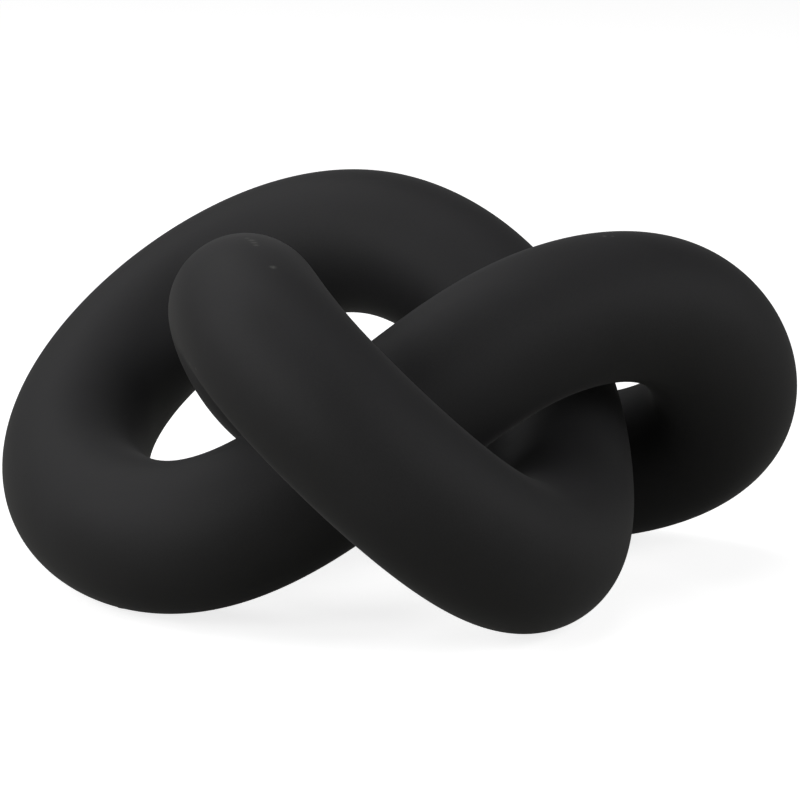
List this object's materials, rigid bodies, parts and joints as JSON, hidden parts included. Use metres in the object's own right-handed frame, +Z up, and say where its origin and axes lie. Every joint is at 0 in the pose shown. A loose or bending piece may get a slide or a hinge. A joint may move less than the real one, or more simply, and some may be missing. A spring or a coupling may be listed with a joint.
{
  "type": "knot sculpture",
  "caption": "Thick round metal tube tied in a closed trefoil knot that lies flat, matte black, for a table or shelf.",
  "frame": {"origin": "on the ground, under the middle of the knot's box", "axes": "+Z up, -Y towards the front lobe and the picture's camera, +X towards the right lobe"},
  "size_m": [0.2696, 0.265, 0.1282],
  "materials": {
    "powder_coat": "matte",
    "bare_aluminium": "satin",
    "black_rubber": "matte"
  },
  "bodies": {
    "root": {"left_arm": "powder_coat", "back_arm": "powder_coat", "right_arm": "powder_coat", "front_lobe": "powder_coat", "left_lobe": "powder_coat", "right_lobe": "powder_coat", "weld_ring_1": "powder_coat", "weld_ring_2": "powder_coat", "weld_ring_3": "powder_coat", "weld_ring_4": "powder_coat", "weld_ring_5": "powder_coat", "weld_ring_6": "powder_coat", "joint_sleeve_1": "bare_aluminium", "joint_sleeve_2": "bare_aluminium", "joint_sleeve_3": "bare_aluminium", "joint_sleeve_4": "bare_aluminium", "joint_sleeve_5": "bare_aluminium", "joint_sleeve_6": "bare_aluminium", "front_foot_pad": "black_rubber", "left_foot_pad": "black_rubber", "right_foot_pad": "black_rubber", "vent_plug": "black_rubber"}
  },
  "joints": []
}
